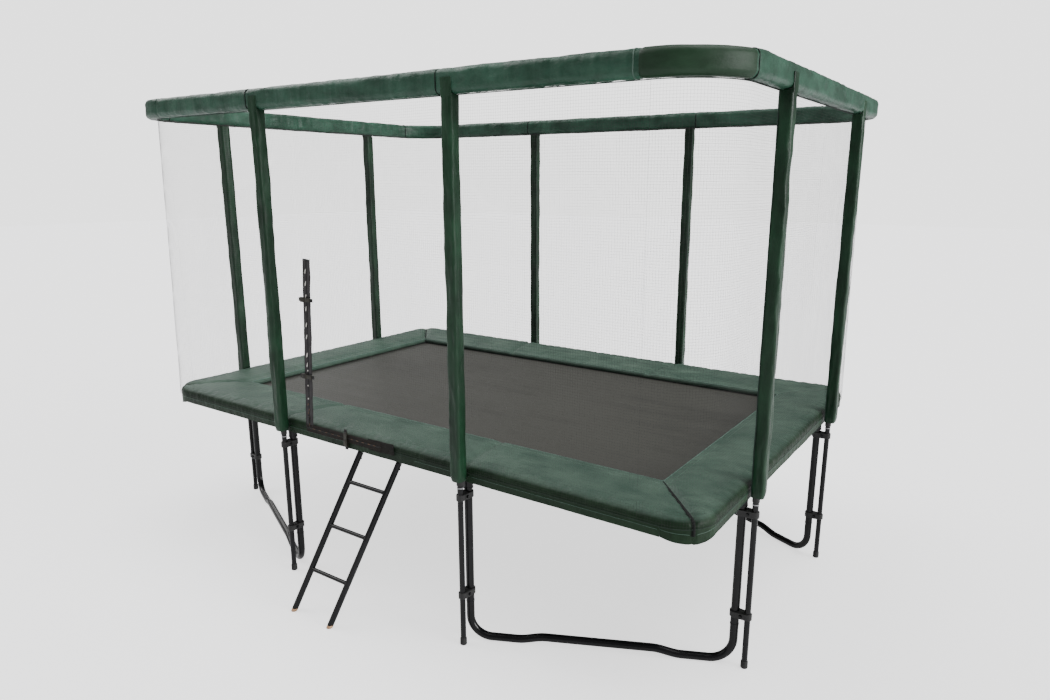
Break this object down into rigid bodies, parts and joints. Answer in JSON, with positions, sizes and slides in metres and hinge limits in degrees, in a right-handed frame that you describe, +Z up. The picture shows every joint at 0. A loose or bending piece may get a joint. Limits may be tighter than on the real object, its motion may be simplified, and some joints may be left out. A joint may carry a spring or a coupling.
{
  "type": "trampoline",
  "caption": "Rectangular garden trampoline with padded rim, ring-topped safety net, zipped net door, bent-tube legs and a hook-on ladder.",
  "frame": {"origin": "on the ground, under the middle of the object's bounding box, ladder included", "axes": "+X along the long side, +Z up, the door and the ladder on the long side at -Y"},
  "size_m": [3.818, 2.8593, 2.709],
  "materials": {
    "black_steel": "semi-gloss black powder coat",
    "foam_cover": "dark green coated cloth over foam, slightly shiny",
    "pad_cover": "mid green coated cloth, slightly shiny",
    "mat_fabric": "matt charcoal woven sheet",
    "spring_steel": "zinc-plated wire",
    "net_cord": "matt dark knitted mesh",
    "zip_fabric": "matt black tape",
    "moulding": "matt black moulding"
  },
  "bodies": {
    "trampoline": {"frame_corner_back_right": "black_steel", "frame_corner_back_left": "black_steel", "frame_corner_front_right": "black_steel", "frame_corner_front_left": "black_steel", "frame_rail_back": "black_steel", "frame_rail_front": "black_steel", "leg_upright_back_right_long": "black_steel", "leg_upright_back_right_short": "black_steel", "leg_upright_back_left_long": "black_steel", "leg_upright_back_left_short": "black_steel", "leg_upright_front_right_long": "black_steel", "leg_upright_front_right_short": "black_steel", "leg_upright_front_left_long": "black_steel", "leg_upright_front_left_short": "black_steel", "leg_base_back_right": "black_steel", "leg_base_back_left": "black_steel", "leg_base_front_right": "black_steel", "leg_base_front_left": "black_steel", "pole_back_right_long": "black_steel", "pole_back_right_short": "black_steel", "pole_back_left_long": "black_steel", "pole_back_left_short": "black_steel", "pole_front_right_long": "black_steel", "pole_front_right_short": "black_steel", "pole_front_left_long": "black_steel", "pole_front_left_short": "black_steel", "ring_tube": "black_steel", "pole_sleeve_back_right_long": "foam_cover", "pole_sleeve_back_right_short": "foam_cover", "pole_sleeve_back_left_long": "foam_cover", "pole_sleeve_back_left_short": "foam_cover", "pole_sleeve_front_right_long": "foam_cover", "pole_sleeve_front_right_short": "foam_cover", "pole_sleeve_front_left_long": "foam_cover", "pole_sleeve_front_left_short": "foam_cover", "ring_sleeve_back": "foam_cover", "ring_sleeve_front": "foam_cover", "ring_sleeve_right": "foam_cover", "ring_sleeve_left": "foam_cover", "pad_back": "pad_cover", "pad_front": "pad_cover", "pad_right": "pad_cover", "pad_left": "pad_cover", "pad_skirt_front": "pad_cover", "net_back": "net_cord", "net_front": "net_cord", "net_right": "net_cord", "net_left": "net_cord", "door_zip": "zip_fabric"},
    "mat": {"jump_mat": "mat_fabric", "spring_set": "spring_steel"},
    "ladder": {"ladder_rail_left": "black_steel", "ladder_rail_right": "black_steel", "ladder_rung_lower": "black_steel", "ladder_rung_middle": "black_steel", "ladder_rung_upper": "black_steel"},
    "slider": {"zip_slider": "moulding"},
    "clip_lower": {"buckle_clip_lower": "moulding"},
    "clip_middle": {"buckle_clip_middle": "moulding"},
    "clip_upper": {"buckle_clip_upper": "moulding"}
  },
  "joints": [
    {"name": "mat_bounce", "type": "slide", "parent": "trampoline", "child": "mat", "axis": [0, 0, 1], "range_m": [-0.35, 0.002], "stiffness_N_per_m": 5000, "springref_m": 0.03, "deforming": ["spring_set"]},
    {"name": "ladder_swing", "type": "hinge", "parent": "trampoline", "child": "ladder", "pos_m": [0, -1.069, 0.893], "axis": [-1, 0, 0], "range_deg": [0, 40], "deforming": ["pad_skirt_front"]},
    {"name": "zip_slide", "type": "slide", "parent": "trampoline", "child": "slider", "axis": [0.0692, 0, 0.9976], "range_m": [-0.02, 0.2]},
    {"name": "buckle_release_lower", "type": "slide", "parent": "trampoline", "child": "clip_lower", "axis": [0, 0, 1], "range_m": [0, 0.045]},
    {"name": "buckle_release_middle", "type": "slide", "parent": "trampoline", "child": "clip_middle", "axis": [1, 0, 0], "range_m": [0, 0.045]},
    {"name": "buckle_release_upper", "type": "slide", "parent": "trampoline", "child": "clip_upper", "axis": [1, 0, 0], "range_m": [0, 0.045]}
  ]
}
